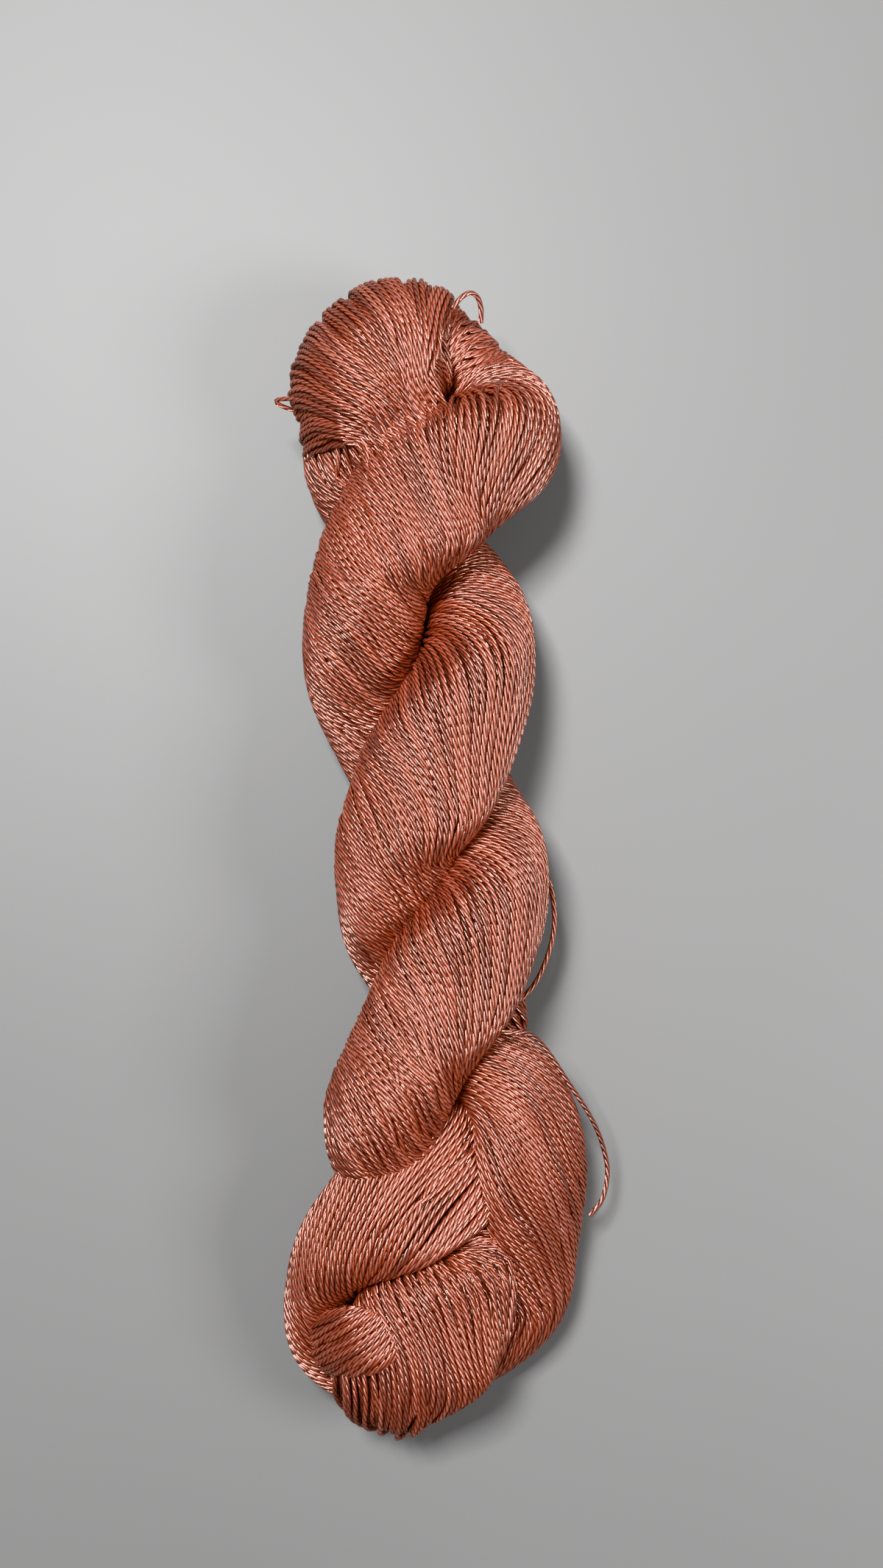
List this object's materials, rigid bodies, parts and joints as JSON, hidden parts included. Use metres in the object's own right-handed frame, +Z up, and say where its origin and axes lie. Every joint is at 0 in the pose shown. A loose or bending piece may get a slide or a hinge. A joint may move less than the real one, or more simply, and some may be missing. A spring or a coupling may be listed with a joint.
{
  "type": "skein of linen yarn",
  "caption": "Twisted skein of linen yarn, folded on itself like a rope, with one end tucked through the loop of the other. It lies on a table.",
  "frame": {"origin": "centre of the bounding box, on the table under the skein", "axes": "+X across the skein, +Y along it towards the fold, +Z up from the table"},
  "size_m": [0.0736, 0.2606, 0.0437],
  "materials": {
    "yarn": "rust-pink linen yarn with a soft sheen"
  },
  "bodies": {
    "root": {"hank": "yarn"}
  },
  "joints": []
}
